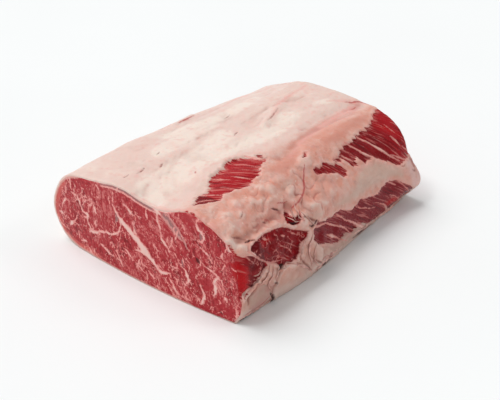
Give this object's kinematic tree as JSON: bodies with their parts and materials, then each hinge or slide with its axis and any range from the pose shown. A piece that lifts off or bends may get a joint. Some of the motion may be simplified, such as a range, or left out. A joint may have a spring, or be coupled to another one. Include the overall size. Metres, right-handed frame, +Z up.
{
  "type": "raw boneless beef loin roast",
  "caption": "Raw beef roast cut as one rounded block, with a marbled cut face at each end and a fat cap on top.",
  "frame": {"origin": "on the ground, under the middle of the roast's box", "axes": "+Y along the grain from the near cut face to the far one, +X towards the trimmed rib side, +Z up"},
  "size_m": [0.213, 0.249, 0.0824],
  "materials": {
    "raw_beef": "moist red lean at the cut faces and in the trimmed windows, cream to pink fat over the rest"
  },
  "bodies": {
    "root": {"beef_roast": "raw_beef"}
  },
  "joints": []
}
